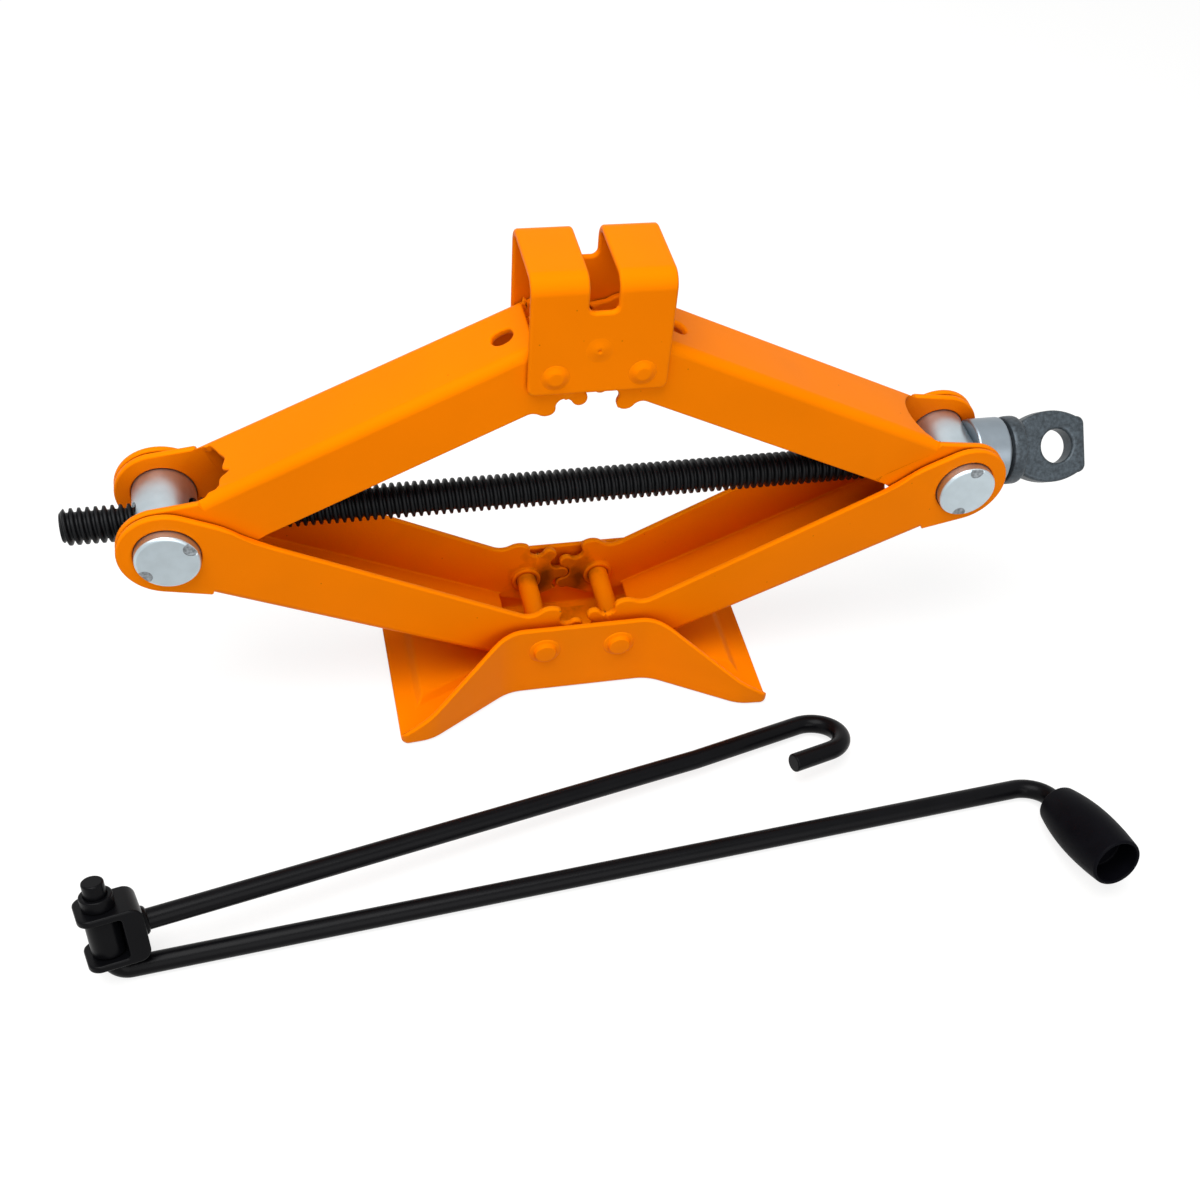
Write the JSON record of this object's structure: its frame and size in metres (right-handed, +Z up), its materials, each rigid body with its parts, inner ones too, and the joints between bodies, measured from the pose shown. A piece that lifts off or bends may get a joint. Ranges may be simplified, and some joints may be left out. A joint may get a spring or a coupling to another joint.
{
  "type": "scissor jack",
  "caption": "Folding screw jack with toothed channel arms on a butterfly base, a slotted saddle, and a hooked crank handle.",
  "frame": {"origin": "under the middle of the base, on the floor", "axes": "+X along the lead screw towards its eye, +Z up, +Y away from the handle"},
  "size_m": [0.4306, 0.2245, 0.1983],
  "materials": {
    "orange_paint": "gloss",
    "zinc_plate": "bright zinc",
    "bearing_steel": "ground",
    "black_oxide": "oiled black",
    "dark_forging": "satin",
    "black_paint": "gloss",
    "black_grip": "satin"
  },
  "bodies": {
    "base": {"base_plate": "orange_paint", "base_pin_left": "orange_paint", "base_pin_right": "orange_paint"},
    "lower_left": {"lower_left_arm": "orange_paint"},
    "lower_right": {"lower_right_arm": "orange_paint"},
    "upper_left": {"upper_left_arm": "orange_paint"},
    "upper_right": {"upper_right_arm": "orange_paint"},
    "saddle": {"saddle_bracket": "orange_paint", "saddle_pin_left": "orange_paint", "saddle_pin_right": "orange_paint"},
    "nut": {"nut_trunnion": "zinc_plate"},
    "thrust": {"thrust_trunnion": "zinc_plate", "thrust_cup": "zinc_plate", "bearing_balls": "bearing_steel"},
    "screw": {"lead_screw": "black_oxide", "screw_eye": "dark_forging", "thrust_race": "bearing_steel"},
    "crank": {"crank_rod": "black_paint", "pivot_washer": "black_paint"},
    "hook": {"hook_rod": "black_paint", "clevis_bracket": "black_paint"},
    "grip": {"crank_grip": "black_grip"}
  },
  "joints": [
    {"name": "lift", "type": "hinge", "parent": "base", "child": "lower_left", "pos_m": [-0.0162, 0, 0.025], "axis": [0, 1, 0], "range_deg": [-16.8, 45.2]},
    {"name": "lower_right_hinge", "type": "hinge", "parent": "base", "child": "lower_right", "pos_m": [0.0162, 0, 0.025], "axis": [0, 1, 0], "range_deg": [-45.7, 17.3]},
    {"name": "upper_left_hinge", "type": "hinge", "parent": "lower_left", "child": "upper_left", "pos_m": [-0.16099, 0, 0.0919], "axis": [0, 1, 0], "range_deg": [-90.9, 34.1]},
    {"name": "upper_right_hinge", "type": "hinge", "parent": "lower_right", "child": "upper_right", "pos_m": [0.16099, 0, 0.0919], "axis": [0, 1, 0], "range_deg": [-34.1, 90.9]},
    {"name": "saddle_hinge", "type": "hinge", "parent": "upper_left", "child": "saddle", "pos_m": [-0.0162, 0, 0.15881], "axis": [0, 1, 0], "range_deg": [-17.3, 45.7]},
    {"name": "nut_hinge", "type": "hinge", "parent": "lower_left", "child": "nut", "pos_m": [-0.16099, 0, 0.0919], "axis": [0, 1, 0], "range_deg": [-45.7, 17.3]},
    {"name": "thrust_hinge", "type": "hinge", "parent": "lower_right", "child": "thrust", "pos_m": [0.16099, 0, 0.0919], "axis": [0, 1, 0], "range_deg": [-17.3, 45.7]},
    {"name": "screw_spin", "type": "hinge", "parent": "thrust", "child": "screw", "pos_m": [0.16099, 0, 0.0919], "axis": [1, 0, 0], "continuous": true},
    {"name": "handle_lift", "type": "slide", "parent": "base", "child": "crank", "axis": [0, 0, 1], "range_m": [0, 0.25]},
    {"name": "hook_fold", "type": "hinge", "parent": "crank", "child": "hook", "pos_m": [-0.19721, -0.13619, 0.02092], "axis": [-0.023, 0.3248, 0.9455], "range_deg": [-180, 0]},
    {"name": "grip_spin", "type": "hinge", "parent": "crank", "child": "grip", "pos_m": [0.18525, -0.14339, 0.01377], "axis": [0.0668, -0.9432, 0.3256], "continuous": true}
  ],
  "couplings": [
    {"joint": "lower_right_hinge", "follows": "lift", "ratio": -1},
    {"joint": "upper_left_hinge", "follows": "lift", "ratio": -2},
    {"joint": "upper_right_hinge", "follows": "lift", "ratio": 2},
    {"joint": "saddle_hinge", "follows": "lift", "ratio": 1},
    {"joint": "nut_hinge", "follows": "lift", "ratio": -1},
    {"joint": "thrust_hinge", "follows": "lift", "ratio": 1}
  ]
}
